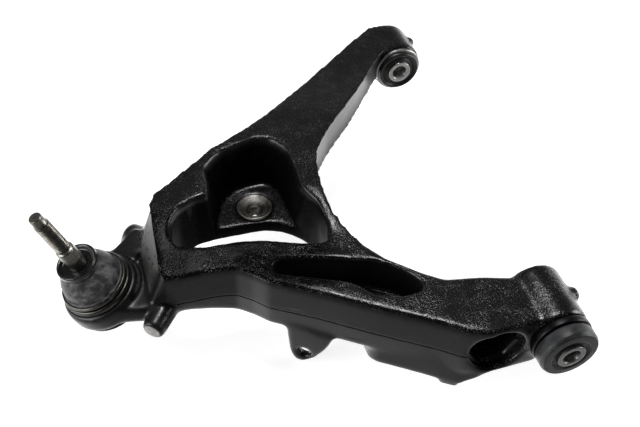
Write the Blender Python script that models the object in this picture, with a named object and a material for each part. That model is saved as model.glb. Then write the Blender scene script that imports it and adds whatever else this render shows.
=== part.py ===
"""Lower front control arm: a cast arm with two pivot bushings, a pressed-in ball joint, a shock pocket
and a torsion-bar socket.

Metres, +Z up. The pivot axis runs along Y through the origin, the front bushing at +Y and the rear
bushing at -Y, and the ball joint is at -X. Lengths below are in millimetres and are turned into metres
where a mesh is made.
"""

from math import cos, pi, radians, sin

import bmesh
import bpy
from mathutils import Matrix, Vector
from mathutils.geometry import delaunay_2d_cdt

for old in list(bpy.data.objects):
    bpy.data.objects.remove(old)

# ---- driving dimensions, millimetres -------------------------------------------------------------
MM = 0.001
GAP = 0.3  # running gap between two touching pieces

FRONT_FACE_Y = 215.0  # outer end of the front inner sleeve
REAR_FACE_Y = -215.0  # outer end of the rear inner sleeve
TUBE_R = 30.0  # outside radius of both bushing eyes
BORE_R = 24.5  # bore of both bushing eyes
FRONT_EYE = (225.5, 275.0)
REAR_EYE = (-190.3, -128.0)
SLEEVE_R = 13.5
BOLT_R = 8.5
SLEEVE_FRONT_END = 281.5
SLEEVE_REAR_END = -121.5
SHELL_R = BORE_R - GAP
SHELL_IN_R = 22.6

LEG_TOP_Z = 24.0  # top of the rear leg
RIDGE_TOP_Z = 38.0  # top of the front leg beside the shock pocket
FRONT_TOP_Z = 30.0  # top of the front leg at its eye
LEG_BOTTOM_Z = -40.0
WEB_BOTTOM_Z = -60.0
FOOT_BOTTOM_Z = -67.0
NECK_TOP_Z = -10.0
NECK_BOTTOM_Z = -29.0
PAD_TOP_Z = -16.0
PAD_BOTTOM_Z = -32.0

SEAT_XY = (-220.0, 58.0)
SEAT_R = 18.6
SEAT_HOLE_R = 9.0

SOCKET_XZ = (-57.0, -8.0)
SOCKET_MOUTH_R = 26.0
SOCKET_FACE_Y = -188.0
SOCKET_MOUTH_DEPTH = 10.0
SOCKET_HEX_FLATS = 42.0
SOCKET_HEX_DEPTH = 42.0

BOSS_CENTRE = Vector((-391.0, -8.5, -4.5))  # centre of the ball joint flange's top face
BALL_AXIS = Vector((-0.336, -0.026, 0.9415)).normalized()
BALL_DROP = 13.0  # the ball's centre is this far below the flange's top face
BALL_CENTRE = BOSS_CENTRE - BALL_AXIS * BALL_DROP
BOSS_R = 38.5
BOSS_TOP = -5.0  # boss and ball joint heights are along the ball joint's own axis
BOSS_BOTTOM = -29.5
HOUSING_R = 31.5
BALL_R = 14.0
STUD_TIP = 108.0
THREAD_R = 7.2

SEGMENTS = 32


# ---- materials -----------------------------------------------------------------------------------
def material(name, color, roughness, metallic):
    made = bpy.data.materials.new(name)
    made.use_nodes = True
    shader = made.node_tree.nodes["Principled BSDF"]
    shader.inputs["Base Color"].default_value = (*color, 1.0)
    shader.inputs["Roughness"].default_value = roughness
    shader.inputs["Metallic"].default_value = metallic
    return made


PAINT = material("black_painted_casting", (0.012, 0.012, 0.013), 0.32, 0.0)
SEAT_STEEL = material("machined_seat_steel", (0.50, 0.49, 0.46), 0.30, 1.0)
FRONT_SHELL = material("front_shell_plated_steel", (0.62, 0.62, 0.60), 0.30, 1.0)
REAR_SHELL = material("rear_shell_black_steel", (0.020, 0.020, 0.021), 0.35, 0.0)
FRONT_RUBBER = material("front_bushing_rubber", (0.013, 0.013, 0.014), 0.55, 0.0)
REAR_RUBBER = material("rear_bushing_rubber", (0.030, 0.031, 0.034), 0.60, 0.0)
FRONT_SLEEVE = material("front_sleeve_plated_steel", (0.70, 0.70, 0.68), 0.25, 1.0)
REAR_SLEEVE = material("rear_sleeve_steel", (0.33, 0.33, 0.33), 0.35, 1.0)
HOUSING = material("ball_joint_housing_steel", (0.10, 0.10, 0.09), 0.35, 1.0)
SNAP_RING = material("snap_ring_steel", (0.08, 0.08, 0.08), 0.40, 1.0)
COVER = material("housing_cover_steel", (0.16, 0.16, 0.15), 0.40, 1.0)
WASHER = material("preload_washer_spring_steel", (0.20, 0.20, 0.21), 0.35, 1.0)
LOWER_RACE = material("lower_race_steel", (0.35, 0.35, 0.36), 0.30, 1.0)
UPPER_RACE = material("upper_race_steel", (0.38, 0.38, 0.38), 0.30, 1.0)
LINER = material("ball_liner_polymer", (0.55, 0.53, 0.46), 0.45, 0.0)
STUD = material("ball_stud_bright_steel", (0.56, 0.54, 0.50), 0.24, 1.0)
BOOT = material("dust_boot_rubber", (0.045, 0.045, 0.048), 0.60, 0.0)
CLAMP = material("boot_clamp_ring_steel", (0.22, 0.21, 0.19), 0.28, 1.0)
NECK_RING = material("boot_neck_ring_steel", (0.12, 0.12, 0.12), 0.35, 1.0)
LIP = material("boot_lip_rubber", (0.012, 0.012, 0.013), 0.25, 0.0)


# ---- general tools -------------------------------------------------------------------------------
def add_object(name, mesh, place, surface=None):
    made = bpy.data.objects.new(name, mesh)
    made.matrix_world = place
    bpy.context.scene.collection.objects.link(made)
    if surface:
        mesh.materials.append(surface)
    return made


def finish_mesh(name, bm, smooth=False):
    bmesh.ops.recalc_face_normals(bm, faces=bm.faces)
    for face in bm.faces:
        face.smooth = smooth
    mesh = bpy.data.meshes.new(name)
    bm.to_mesh(mesh)
    bm.free()
    return mesh


def axis_place(origin, axis):
    """Places an object's own Z along an axis, with its origin at a point given in millimetres."""
    turn = Vector((0.0, 0.0, 1.0)).rotation_difference(axis)
    return Matrix.Translation(Vector(origin) * MM) @ turn.to_matrix().to_4x4()


ALONG_Y = Matrix(((1, 0, 0, 0), (0, 0, 1, 0), (0, -1, 0, 0), (0, 0, 0, 1)))
BALL_PLACE = axis_place(BALL_CENTRE, BALL_AXIS)


def turned(name, profile, place, surface, closed=True, segments=SEGMENTS):
    """A turned piece: (radius, height) points that run down the outer side and back up the inner one."""
    mesh = bpy.data.meshes.new(name)
    points = [(r * MM, 0.0, h * MM) for r, h in profile]
    count = len(points)
    edges = [(i, (i + 1) % count) for i in range(count if closed else count - 1)]
    mesh.from_pydata(points, edges, [])
    made = add_object(name, mesh, place, surface)
    screw = made.modifiers.new("turn", "SCREW")
    screw.axis = "Z"
    screw.angle = 2 * pi
    screw.steps = segments
    screw.render_steps = segments
    screw.use_merge_vertices = True
    screw.merge_threshold = 0.00001
    screw.use_smooth_shade = True
    return made


def smooth_step(value):
    held = min(max(value, 0.0), 1.0)
    return held * held * (3.0 - 2.0 * held)


def resampled(outline, spacing):
    points = []
    for i, start in enumerate(outline):
        a = Vector(start)
        b = Vector(outline[(i + 1) % len(outline)])
        steps = max(1, round((b - a).length / spacing))
        points += [a.lerp(b, k / steps) for k in range(steps)]
    return points


def offset_outline(points, distance):
    """Moves a counter-clockwise outline outward by a distance, or inward if it is negative."""
    moved = []
    for i, here in enumerate(points):
        before = (here - points[i - 1]).normalized()
        after = (points[(i + 1) % len(points)] - here).normalized()
        n1 = Vector((before.y, -before.x))
        n2 = Vector((after.y, -after.x))
        moved.append(here + (n1 + n2) * distance / max(1.0 + n1.dot(n2), 0.4))
    return moved


def inside(point, ring, margin):
    hit = False
    for i, a in enumerate(ring):
        b = ring[i - 1]
        span = b - a
        t = min(max((point - a).dot(span) / span.length_squared, 0.0), 1.0)
        if (a + span * t - point).length < margin:
            return False
        if (a.y > point.y) != (b.y > point.y):
            if point.x < a.x + (point.y - a.y) * (b.x - a.x) / (b.y - a.y):
                hit = not hit
    return hit


def cap(bm, ring_2d, ring_verts, height, spacing):
    """Closes an outline with triangles whose inner corners lie at height(x, y)."""
    low_x = min(p.x for p in ring_2d)
    high_x = max(p.x for p in ring_2d)
    low_y = min(p.y for p in ring_2d)
    high_y = max(p.y for p in ring_2d)
    extra = []
    for i in range(int((high_x - low_x) / spacing) + 1):
        for j in range(int((high_y - low_y) / spacing) + 1):
            spot = Vector((low_x + (i + 0.5) * spacing, low_y + (j + 0.5 * (i % 2)) * spacing))
            if inside(spot, ring_2d, spacing * 0.55):
                extra.append(spot)
    count = len(ring_2d)
    loop = [list(range(count))]
    coords, _, faces, origin, _, _ = delaunay_2d_cdt(ring_2d + extra, [], loop, 1, 0.0001)
    verts = []
    for spot, sources in zip(coords, origin):
        if sources and sources[0] < count:
            verts.append(ring_verts[sources[0]])
        else:
            verts.append(bm.verts.new((spot.x * MM, spot.y * MM, height(spot.x, spot.y) * MM)))
    for face in faces:
        bm.faces.new([verts[i] for i in face])


def slab(name, outline, top, bottom, rounding, bulge=0.0, part_z=None, spacing=20.0, grid=28.0):
    """A cast slab: a plan outline between two height functions, with rounded rims and a parting line."""
    top_at = top if callable(top) else lambda x, y: top
    bottom_at = bottom if callable(bottom) else lambda x, y: bottom
    plan = resampled(outline, spacing)
    levels = []
    angles = (0.0, 45.0, 90.0) if rounding else (90.0,)
    for angle in angles:
        levels.append((rounding * (1 - sin(radians(angle))), "top", rounding * (1 - cos(radians(angle)))))
    if part_z is not None:
        levels.append((-bulge, "part", 0.0))
    for angle in reversed(angles):
        levels.append((rounding * (1 - sin(radians(angle))), "bottom", rounding * (1 - cos(radians(angle)))))
    bm = bmesh.new()
    rings = []
    flats = []
    for inset, side, drop in levels:
        flat = offset_outline(plan, -inset)
        ring = []
        for p in flat:
            if side == "top":
                z = top_at(p.x, p.y) - drop
            elif side == "bottom":
                z = bottom_at(p.x, p.y) + drop
            else:
                z = part_z
            ring.append(bm.verts.new((p.x * MM, p.y * MM, z * MM)))
        rings.append(ring)
        flats.append(flat)
    for upper, lower in zip(rings, rings[1:]):
        for i in range(len(plan)):
            j = (i + 1) % len(plan)
            bm.faces.new((upper[i], lower[i], lower[j], upper[j]))
    cap(bm, flats[0], rings[0], top_at, grid)
    cap(bm, flats[-1], rings[-1], bottom_at, grid)
    return add_object(name, finish_mesh(name, bm), Matrix.Identity(4))


def block(name, low, high):
    """A block between a lower and an upper ring of corners, which match one to one."""
    bm = bmesh.new()
    below = [bm.verts.new(Vector(p) * MM) for p in low]
    above = [bm.verts.new(Vector(p) * MM) for p in high]
    count = len(below)
    for i in range(count):
        j = (i + 1) % count
        bm.faces.new((below[i], below[j], above[j], above[i]))
    bm.faces.new(reversed(below))
    bm.faces.new(above)
    bmesh.ops.triangulate(bm, faces=bm.faces[:])
    return add_object(name, finish_mesh(name, bm), Matrix.Identity(4))


def rod(name, start, end, radius, segments=32, end_radius=None, rim=0.0):
    """A round rod between two points, with a chamfered far rim if rim is given."""
    a = Vector(start)
    b = Vector(end)
    length = (b - a).length
    last = end_radius if end_radius is not None else radius
    profile = [(0.0, length)]
    if rim:
        profile += [(last - rim, length), (last, length - rim)]
    else:
        profile += [(last, length)]
    profile += [(radius, 0.0), (0.0, 0.0)]
    made = turned(name, profile, axis_place(a, (b - a).normalized()), None, False, segments)
    return made


def combine(target, tool, operation):
    """Adds a tool body to the target, or cuts it away."""
    tool.hide_render = True
    tool.display_type = "WIRE"
    cut = target.modifiers.new(tool.name, "BOOLEAN")
    cut.operation = operation
    cut.object = tool
    cut.solver = "EXACT"
    weld = target.modifiers.new(tool.name + "_weld", "WELD")
    weld.merge_threshold = 0.00002
    return cut


# ---- the arm casting -----------------------------------------------------------------------------
def ridge_height(x, y):
    """Top of the pocket walls and front leg: up from the rear leg, then gently down to the front eye."""
    rise = (RIDGE_TOP_Z - LEG_TOP_Z) * smooth_step((y + 45.0) / 75.0)
    fall = (RIDGE_TOP_Z - FRONT_TOP_Z) * smooth_step((y - 105.0) / 105.0)
    return LEG_TOP_Z + rise - fall


def leg_bottom(x, y):
    """Underside of the rear leg, which rises towards the ball joint."""
    return LEG_BOTTOM_Z + 12.0 * smooth_step((-262.0 - x) / 56.0)


def rear_leg():
    outline = [
        (-333, -47),
        (-310, -49),
        (-288, -49),
        (-266, -52),
        (-252, -63),
        (-240, -76),
        (-199, -102),
        (-153, -134),
        (-130, -149),
        (-106, -165),
        (-86, -180),
        (-66, -188),
        (-13, -187),
        (-12, -133),
        (-24, -130),
        (-49, -122),
        (-83, -115),
        (-101, -101),
        (-126, -76),
        (-143, -50),
        (-150, -38),
        (-181, -41),
        (-205, -35),
        (-232, -25),
        (-256, -21),
        (-288, -20),
        (-306, -16),
        (-333, -12),
    ]
    return slab("leg_body", outline, LEG_TOP_Z, leg_bottom, 4.0, 1.2, -12.0)


def leg_web():
    outline = [
        (-158, -100),
        (-157, -127),
        (-152, -134),
        (-130, -149),
        (-103, -168),
        (-86, -179),
        (-76, -172),
        (-84, -150),
        (-112, -118),
        (-140, -95),
    ]
    return slab("leg_web", outline, -20.0, WEB_BOTTOM_Z, 3.0)


def leg_foot():
    outline = [(-101, -168), (-86, -178), (-79, -172), (-82, -156), (-96, -154)]
    return slab("leg_foot", outline, -45.0, FOOT_BOTTOM_Z, 2.5)


def ridge_body():
    """The front leg and the ring of walls around the shock pocket, before the pocket is cut."""
    outline = [
        (-328, 22),
        (-327, 39),
        (-320, 50),
        (-292, 70),
        (-251, 101),
        (-213, 121),
        (-177, 146),
        (-105, 205),
        (-60, 242),
        (-22, 271),
        (-3, 272),
        (-3, 228),
        (-20, 226),
        (-47, 195),
        (-75, 159),
        (-101, 129),
        (-128, 100),
        (-149, 72),
        (-156, 53),
        (-161, 21),
        (-160, -9),
        (-152, -35),
        (-145, -52),
        (-165, -72),
        (-200, -70),
        (-262, -38),
        (-331, -38),
    ]
    return slab("ridge_body", outline, ridge_height, 0.0, 4.0, 0.8, 14.0)


def pocket_box():
    """Lower walls of the shock pocket and its floor."""
    outline = [
        (-331, -24),
        (-328, 21),
        (-320, 49),
        (-292, 69),
        (-251, 100),
        (-213, 120),
        (-172, 120),
        (-153, 78),
        (-157, 50),
        (-161, 20),
        (-160, -10),
        (-150, -40),
        (-165, -58),
        (-250, -38),
        (-320, -34),
    ]
    return slab("pocket_box", outline, 12.0, PAD_BOTTOM_Z, 2.5)


def neck_top(x, y):
    """The neck's top falls gently towards the ball joint."""
    return NECK_TOP_Z + 0.035 * (x + 360.0) - 0.02 * y


def neck():
    outline = [
        (-391, -40),
        (-374, -46),
        (-355, -50),
        (-328, -49),
        (-300, -46),
        (-300, 60),
        (-323, 62),
        (-343, 56),
        (-368, 38),
        (-391, 36),
    ]
    return slab("neck", outline, neck_top, NECK_BOTTOM_Z, 3.5, 0.8, -21.0)


def gusset():
    """The sloping wall that climbs from the neck to the pocket walls."""
    low = [
        (-352, -47, -26),
        (-306, -47, -26),
        (-300, 66, -26),
        (-334, 62, -26),
        (-346, 44, -26),
        (-352, 20, -26),
    ]
    high = [
        (-334, -45, 20),
        (-318, -45, 20),
        (-300, 50, 36.5),
        (-320, 46, 36.5),
        (-326, 38, 36.5),
        (-328, 20, 36),
    ]
    return block("gusset", low, high)


def boss_web():
    """The web that rises from the boss to the sloping wall, in front of the front stop lug."""
    low = [(-376, 33, -26), (-360, 4, -26), (-330, 28, -26), (-345, 55, -26)]
    high = [(-374, 30.5, -10), (-352, 10, -7), (-331, 30, 12), (-344.5, 44, 5)]
    return block("boss_web", low, high)


def socket_ramp():
    """The underside that falls from the socket's mouth to the foot."""
    plan = [(-87, -178, -63), (-72, -185.5, -47), (-60, -186, -39), (-60, -168, -39), (-80, -164, -60)]
    return block("socket_ramp", plan, [(x, y, -25) for x, y, _ in plan])


def boss():
    profile = [
        (0.0, BOSS_TOP),
        (BOSS_R - 2.5, BOSS_TOP),
        (BOSS_R, BOSS_TOP - 2.5),
        (BOSS_R, BOSS_BOTTOM + 5.0),
        (BOSS_R - 4.0, BOSS_BOTTOM),
        (0.0, BOSS_BOTTOM),
    ]
    return turned("boss", profile, axis_place(BOSS_CENTRE, BALL_AXIS), None, False)


def eye(name, span):
    low, high = span
    profile = [
        (0.0, high),
        (TUBE_R - 1.5, high),
        (TUBE_R, high - 1.5),
        (TUBE_R, low + 1.5),
        (TUBE_R - 1.5, low),
        (0.0, low),
    ]
    return turned(name, profile, ALONG_Y, None, False)


def bracket_ear():
    """The drilled ear that hangs from the side wall of the rear leg."""
    along = Vector((53.0, -37.0, 0.0)).normalized()
    out = Vector((along.y, -along.x, 0.0))
    start = Vector((-251.0, -62.0, 0.0)) + out * 5.0
    shape = [(32, -30), (34, -52), (36, -72), (40, -84), (46, -88), (53, -86), (63, -76), (73, -60), (82, -36)]
    faces = []
    for depth in (0.0, -10.0):
        faces.append([start + along * t + out * depth + Vector((0, 0, z)) for t, z in shape])
    ear = block("bracket_ear", faces[1], faces[0])
    middle = start + along * 52.0 + Vector((0, 0, -71.0))
    hole = rod("bracket_hole", middle + out * 10.0, middle - out * 25.0, 6.3, 24)
    return ear, hole


def pocket_cut():
    """The shock pocket above its floor. Its walls lean in towards the floor."""
    high = [
        (-272, 38),
        (-267, 76),
        (-256, 88),
        (-246, 95),
        (-223, 101),
        (-203, 105),
        (-189, 98),
        (-178, 76),
        (-178, 48),
        (-179, 24),
        (-174, 13),
        (-169, 4),
        (-167, -12),
        (-166, -28),
        (-171, -40),
        (-205, -30),
        (-250, 0),
    ]
    low = [
        (-266, 36),
        (-254, 68),
        (-244, 80),
        (-234, 87),
        (-219, 91),
        (-202, 91),
        (-194, 84),
        (-188, 66),
        (-188, 46),
        (-187, 24),
        (-183, 12),
        (-178, 2),
        (-174, -12),
        (-171, -28),
        (-175, -39),
        (-205, -30),
        (-250, 0),
    ]
    lower = [(x, y, PAD_TOP_Z) for x, y in low]
    rim = [(x + (x - u) * 0.4, y + (y - v) * 0.4, 60.0) for (x, y), (u, v) in zip(high, low)]
    return block("pocket_cut", lower, rim)


def gap_cut():
    """The opening that runs right through between the pocket floor and the rear leg."""
    outline = [
        (-312, -13),
        (-288, -20),
        (-256, -21),
        (-232, -25),
        (-205, -35),
        (-181, -42),
        (-172, -41),
        (-169, -28),
        (-171, -10),
        (-176, 2),
        (-182, 12),
        (-190, 21),
        (-200, 29),
        (-216, 35),
        (-238, 36),
        (-262, 37),
        (-284, 35),
        (-303, 26),
        (-313, 13),
        (-316, -2),
    ]
    return slab("gap_cut", outline, 70.0, -90.0, 0.0, spacing=40.0, grid=60.0)


def recess_cut():
    outline = [
        (-232, -56),
        (-222, -51),
        (-204, -55),
        (-187, -61),
        (-160, -70),
        (-140, -77),
        (-125, -87),
        (-113, -98),
        (-106, -110),
        (-105, -118),
        (-111, -124),
        (-128, -124),
        (-151, -116),
        (-159, -104),
        (-168, -95),
        (-193, -83),
        (-229, -67),
    ]
    low = [(x, y, -14.0) for x, y in outline]
    high = [(x, y, 40.0) for x, y in outline]
    return block("recess_cut", low, high)


def socket_cuts():
    """The torsion-bar socket: a round mouth, then a blind hexagon."""
    x, z = SOCKET_XZ
    mouth = rod(
        "socket_mouth",
        (x, SOCKET_FACE_Y + SOCKET_MOUTH_DEPTH, z),
        (x, SOCKET_FACE_Y - 30.0, z),
        SOCKET_MOUTH_R,
        36,
    )
    corner = SOCKET_HEX_FLATS / 2 / cos(pi / 6)
    ring = [(x + corner * cos(k * pi / 3), z + corner * sin(k * pi / 3)) for k in range(6)]
    near = [(u, SOCKET_FACE_Y + SOCKET_MOUTH_DEPTH - 2.0, v) for u, v in ring]
    far = [(u, SOCKET_FACE_Y + SOCKET_MOUTH_DEPTH + SOCKET_HEX_DEPTH, v) for u, v in ring]
    return mouth, block("socket_hexagon", near, far)


def control_arm_casting():
    casting = rear_leg()
    casting.name = "control_arm_casting"
    casting.data.materials.append(PAINT)
    added = [
        leg_web(),
        leg_foot(),
        ridge_body(),
        pocket_box(),
        neck(),
        gusset(),
        boss_web(),
        socket_ramp(),
        boss(),
        eye("front_eye", FRONT_EYE),
        eye("rear_eye", REAR_EYE),
        rod("rear_stop", (-322, -32, -19), (-350, -67, -22), 12.6, 20, 11.4, 1.2),
        rod("front_stop", (-318, 18, -13), (-353, 53, -13), 15.0, 24, 14.0, 3.0),
        rod("front_nub", (18, 252, 10), (30, 252, 17), 6.6, 16, 5.6, 1.2),
        rod("rear_nub", (18, -159, 9), (32.5, -159, 15), 8.2, 16, 7.0, 1.4),
    ]
    ear, ear_hole = bracket_ear()
    added.append(ear)
    for piece in added:
        combine(casting, piece, "UNION")
    mouth, hexagon = socket_cuts()
    seat_x, seat_y = SEAT_XY
    cuts = [
        pocket_cut(),
        gap_cut(),
        recess_cut(),
        mouth,
        hexagon,
        ear_hole,
        rod("front_clearance", (0, 195, 0), (0, FRONT_EYE[0] - 0.2, 0), 28.6, 36),
        rod("front_bore", (0, 200, 0), (0, 300, 0), BORE_R, 40),
        rod("rear_bore", (0, -240, 0), (0, -100, 0), BORE_R, 40),
        rod(
            "boss_bore",
            BOSS_CENTRE + BALL_AXIS * (BOSS_BOTTOM - 20.0),
            BOSS_CENTRE + BALL_AXIS * 12.0,
            HOUSING_R + GAP,
            44,
        ),
        rod(
            "boss_spotface",
            BOSS_CENTRE + BALL_AXIS * (BOSS_BOTTOM - 30.0),
            BOSS_CENTRE + BALL_AXIS * BOSS_BOTTOM,
            37.2,
            36,
        ),
        rod(
            "flange_spotface",
            BOSS_CENTRE + BALL_AXIS * BOSS_TOP,
            BOSS_CENTRE + BALL_AXIS * 20.0,
            38.0,
            36,
        ),
        rod(
            "seat_bore",
            (seat_x, seat_y, PAD_BOTTOM_Z - 10.0),
            (seat_x, seat_y, PAD_TOP_Z + 10.0),
            SEAT_HOLE_R + 4.0,
            32,
        ),
        rod(
            "seat_counterbore",
            (seat_x, seat_y, PAD_TOP_Z - 6.0),
            (seat_x, seat_y, PAD_TOP_Z + 12.0),
            SEAT_R + GAP,
            32,
        ),
    ]
    for piece in cuts:
        combine(casting, piece, "DIFFERENCE")
    return casting


def shock_seat():
    """The machined seat insert: a coned ring on a short sleeve through the pocket floor."""
    sleeve_r = SEAT_HOLE_R + 4.0 - GAP
    top = 1.2
    profile = [
        (SEAT_R - 1.0, top),
        (SEAT_R, top - 1.0),
        (SEAT_R, -6.0 + GAP),
        (sleeve_r, -6.0 + GAP),
        (sleeve_r, PAD_BOTTOM_Z - PAD_TOP_Z + 0.5),
        (SEAT_HOLE_R, PAD_BOTTOM_Z - PAD_TOP_Z + 0.5),
        (SEAT_HOLE_R, -3.4),
        (SEAT_HOLE_R + 1.2, -3.0),
    ]
    place = Matrix.Translation(Vector((SEAT_XY[0], SEAT_XY[1], PAD_TOP_Z)) * MM)
    return turned("shock_seat", profile, place, SEAT_STEEL)


# ---- pivot bushings, turned about the pivot axis ----------------------------------------------------
def front_bushing():
    shell = [
        (BORE_R - 1.0, 274.5),
        (SHELL_R, 273.5),
        (SHELL_R, FRONT_EYE[0] - GAP),
        (27.4, FRONT_EYE[0] - GAP),
        (27.8, FRONT_EYE[0] - 0.7),
        (27.8, FRONT_EYE[0] - 3.6),
        (27.0, FRONT_EYE[0] - 4.2),
        (SHELL_IN_R, FRONT_EYE[0] - 4.2),
        (SHELL_IN_R, 274.5),
    ]
    turned("front_bushing_shell", shell, ALONG_Y, FRONT_SHELL)
    rubber_r = SHELL_IN_R - GAP
    hole_r = SLEEVE_R + GAP
    face = FRONT_EYE[0] - 4.2 - GAP
    rubber = [
        (hole_r + 1.0, 278.0),
        (20.0, 277.5),
        (rubber_r, 273.0),
        (rubber_r, face),
        (24.8, face),
        (25.2, face - 1.2),
        (24.0, face - 3.6),
        (22.4, face - 4.4),
        (20.6, face - 3.4),
        (18.0, face - 3.2),
        (hole_r + 1.2, face - 3.8),
        (hole_r, face - 3.0),
        (hole_r, 277.0),
    ]
    turned("front_bushing_rubber", rubber, ALONG_Y, FRONT_RUBBER)
    return inner_sleeve("front_inner_sleeve", SLEEVE_FRONT_END, FRONT_FACE_Y, FRONT_SLEEVE)


def rear_bushing():
    shell = [
        (SHELL_R - 0.8, REAR_EYE[1] + 1.0),
        (SHELL_R, REAR_EYE[1] + 0.2),
        (SHELL_R, REAR_EYE[0] - GAP),
        (28.6, REAR_EYE[0] - GAP),
        (29.2, REAR_EYE[0] - 1.2),
        (29.2, REAR_EYE[0] - 6.2),
        (28.2, REAR_EYE[0] - 7.4),
        (SHELL_IN_R, REAR_EYE[0] - 7.4),
        (SHELL_IN_R, REAR_EYE[1] + 1.0),
    ]
    turned("rear_bushing_shell", shell, ALONG_Y, REAR_SHELL)
    rubber_r = SHELL_IN_R - GAP
    hole_r = SLEEVE_R + GAP
    face = REAR_EYE[0] - 7.4 - GAP
    rubber = [
        (hole_r + 1.0, REAR_EYE[1] + 4.0),
        (20.0, REAR_EYE[1] + 3.5),
        (rubber_r, REAR_EYE[1]),
        (rubber_r, face),
        (26.2, face),
        (28.0, face - 1.6),
        (28.4, face - 5.0),
        (28.0, face - 11.0),
        (26.8, face - 14.2),
        (25.0, face - 15.4),
        (18.6, face - 15.8),
        (17.0, face - 14.4),
        (hole_r, face - 13.6),
        (hole_r, REAR_EYE[1] + 3.0),
    ]
    turned("rear_bushing_rubber", rubber, ALONG_Y, REAR_RUBBER)
    return inner_sleeve("rear_inner_sleeve", SLEEVE_REAR_END, REAR_FACE_Y, REAR_SLEEVE)


def inner_sleeve(name, high, low, surface):
    profile = [
        (SLEEVE_R - 0.8, high),
        (SLEEVE_R, high - 0.8),
        (SLEEVE_R, low + 0.8),
        (SLEEVE_R - 0.8, low),
        (BOLT_R + 0.7, low),
        (BOLT_R, low + 0.7),
        (BOLT_R, high - 0.7),
        (BOLT_R + 0.7, high),
    ]
    return turned(name, profile, ALONG_Y, surface)


# ---- ball joint. Heights are from the ball's centre, along the ball joint's axis ---------------------
RACE_BORE_R = 23.0
LINER_OUT_R = 17.0
HOUSING_BOTTOM = -33.8 + BALL_DROP


def sphere_points(radius, low, high, steps, down):
    """Points (radius, height) of a sphere about the ball's centre between two heights."""
    heights = [low + (high - low) * k / steps for k in range(steps + 1)]
    points = [((radius**2 - h**2) ** 0.5, h) for h in heights]
    return points[::-1] if down else points


def ball_joint_fixed_pieces():
    flange_top = BALL_DROP
    flange_under = BALL_DROP + BOSS_TOP + GAP
    housing = [
        (33.0, flange_top),
        (34.2, flange_top - 1.2),
        (34.2, flange_under),
        (HOUSING_R, flange_under),
        (HOUSING_R, HOUSING_BOTTOM + 3.4),
        (30.0, HOUSING_BOTTOM + 3.4),
        (30.0, HOUSING_BOTTOM + 1.4),
        (HOUSING_R - 0.6, HOUSING_BOTTOM + 1.4),
        (HOUSING_R - 1.6, HOUSING_BOTTOM),
        (RACE_BORE_R, HOUSING_BOTTOM),
        (RACE_BORE_R, 9.3),
        (18.4, 9.3),
        (18.4, flange_top),
    ]
    turned("ball_joint_housing", housing, BALL_PLACE, HOUSING)
    ring_top = HOUSING_BOTTOM + 3.4 - 0.2
    snap_ring = [(34.6, ring_top), (34.6, ring_top - 1.6), (30.3, ring_top - 1.6), (30.3, ring_top)]
    turned("housing_snap_ring", snap_ring, BALL_PLACE, SNAP_RING)
    race_r = RACE_BORE_R - GAP
    seat_r = LINER_OUT_R + GAP
    upper = [(race_r, 9.0), (race_r, 0.15)] + sphere_points(seat_r, 0.15, 9.0, 6, False)
    turned("upper_race", upper, BALL_PLACE, UPPER_RACE)
    lower = [(race_r, -0.15), (race_r, -13.0)] + sphere_points(seat_r, -13.0, -0.15, 7, False)
    turned("lower_race", lower, BALL_PLACE, LOWER_RACE)
    washer = [(22.2, -13.5), (22.4, -14.9), (9.0, -15.5), (9.0, -14.2)]
    turned("preload_washer", washer, BALL_PLACE, WASHER)
    cover = [(0.0, -16.2), (race_r, -15.9), (race_r, HOUSING_BOTTOM + 0.6), (12.0, HOUSING_BOTTOM)]
    cover += [(0.0, HOUSING_BOTTOM)]
    turned("housing_cover", cover, BALL_PLACE, COVER, False)
    base = BALL_DROP
    clamp = [
        (31.8, base + 5.4),
        (32.7, base + 4.6),
        (32.7, base + 2.8),
        (31.8, base + 2.0),
        (30.8, base + 2.0),
        (30.8, base + 5.4),
    ]
    turned("boot_clamp_ring", clamp, BALL_PLACE, CLAMP)


def ball_joint_moving_pieces():
    outer = sphere_points(LINER_OUT_R, -9.0, 8.0, 8, True)
    inner = sphere_points(BALL_R + GAP, -9.0, 8.0, 8, False)
    turned("ball_liner", outer + inner, BALL_PLACE, LINER)
    base = BALL_DROP
    lip = [
        (19.0, base + 38.0),
        (20.0, base + 37.0),
        (20.0, base + 33.6),
        (18.6, base + 32.3),
        (10.0, base + 32.3),
        (9.7, base + 32.8),
        (9.7, base + 34.0),
        (15.0, base + 34.2),
        (17.2, base + 37.2),
    ]
    turned("boot_lip", lip, BALL_PLACE, LIP)
    neck_ring = [(18.4, base + 31.0), (18.4, base + 29.4), (17.0, base + 29.4), (17.0, base + 31.0)]
    turned("boot_neck_ring", neck_ring, BALL_PLACE, NECK_RING)
    tip = base + STUD_TIP
    stud = [
        (0.0, tip),
        (5.4, tip),
        (6.2, tip - 0.9),
        (6.2, tip - 9.0),
        (THREAD_R, tip - 10.2),
        (THREAD_R, base + 60.0),
        (8.5, base + 58.6),
        (9.3, base + 34.0),
        (9.3, base + 24.0),
        (8.2, base + 19.0),
        (7.4, base + 8.0),
        (7.4, 13.2),
    ]
    stud += sphere_points(BALL_R, -13.3, 11.6, 9, True)
    stud += [(0.0, -13.3)]
    turned("ball_stud", stud, BALL_PLACE, STUD, False)


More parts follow.
